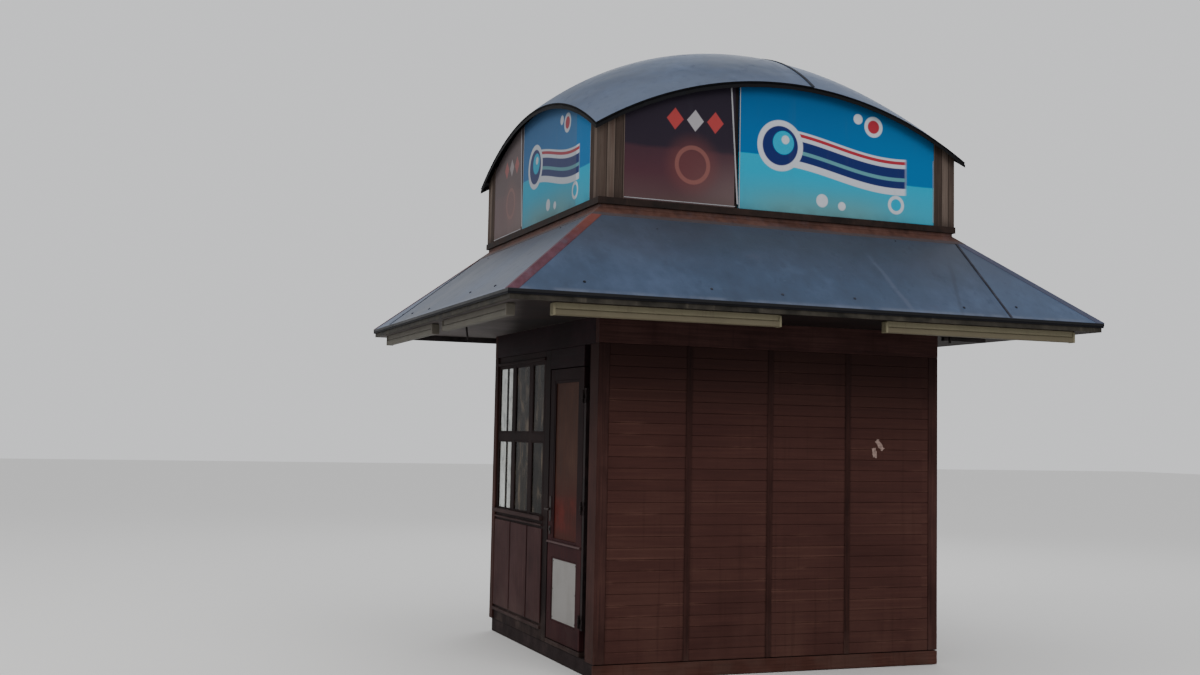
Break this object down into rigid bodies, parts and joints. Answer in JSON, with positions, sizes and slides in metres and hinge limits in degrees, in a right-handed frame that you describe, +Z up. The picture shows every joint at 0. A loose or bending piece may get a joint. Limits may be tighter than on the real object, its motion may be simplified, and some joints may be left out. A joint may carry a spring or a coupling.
{
  "type": "street kiosk",
  "caption": "Square timber street kiosk with dark red boarded walls, a part-glazed side with a door, a hipped metal skirt roof, a sign box and an arched dome.",
  "frame": {"origin": "middle of the plan, on the ground under the plinth", "axes": "+X to the right along the boarded front, +Y from the boarded front to the back, +Z up"},
  "size_m": [4.63, 4.07, 4.782],
  "materials": {
    "ceiling_board": "painted",
    "concrete": "rough",
    "dark_trim": "dull",
    "door_board": "stained",
    "floor_timber": "worn",
    "glass": "clear",
    "light_body": "aged",
    "pale_sheet": "dull paint",
    "red_sheet": "dull paint",
    "roof_sheet": "weathered sheet",
    "sign_board": "faded print",
    "soffit_board": "weathered paint",
    "stained_timber": "dark stain",
    "steel": "worn",
    "weathered_board": "weathered"
  },
  "bodies": {
    "kiosk": {"back_aprons": "stained_timber", "back_beam": "stained_timber", "back_glass": "glass", "back_sign_boards": "sign_board", "back_skirt_roof": "roof_sheet", "back_window_frame": "stained_timber", "ceiling": "ceiling_board", "dome": "roof_sheet", "dome_edge_band": "dark_trim", "door_head": "stained_timber", "eave_fascia": "dark_trim", "floor": "floor_timber", "front_base_board": "stained_timber", "front_battens": "stained_timber", "front_beam": "stained_timber", "front_sign_boards": "sign_board", "front_skirt_roof": "roof_sheet", "front_strip_lights": "light_body", "front_wall_bay_1": "stained_timber", "front_wall_bay_2": "stained_timber", "front_wall_bay_3": "stained_timber", "front_wall_bay_4": "stained_timber", "hinge_jamb": "stained_timber", "hip_caps": "red_sheet", "jamb_hinges": "steel", "latch_jamb": "stained_timber", "left_aprons": "stained_timber", "left_beam": "stained_timber", "left_glass": "glass", "left_sign_boards": "sign_board", "left_skirt_roof": "roof_sheet", "left_strip_lights": "light_body", "left_window_frame": "stained_timber", "plinth": "concrete", "post_back_left": "stained_timber", "post_back_right": "stained_timber", "post_front_left": "stained_timber", "post_front_right": "stained_timber", "right_base_board": "stained_timber", "right_battens": "stained_timber", "right_beam": "stained_timber", "right_sign_boards": "sign_board", "right_skirt_roof": "roof_sheet", "right_wall": "stained_timber", "sign_box_flashing": "red_sheet", "sign_box_walls": "dark_trim", "sign_corner_boards": "weathered_board", "sign_rail": "dark_trim", "soffit": "soffit_board", "threshold": "floor_timber"},
    "door": {"door_frame": "stained_timber", "door_handle": "steel", "door_hinges": "steel", "door_sheet": "pale_sheet", "door_upper_board": "door_board", "door_weather_bar": "pale_sheet"}
  },
  "joints": [
    {"name": "door_swing", "type": "hinge", "parent": "kiosk", "child": "door", "pos_m": [-1.39, -0.925, 0], "axis": [0, 0, 1], "range_deg": [0, 100]}
  ]
}
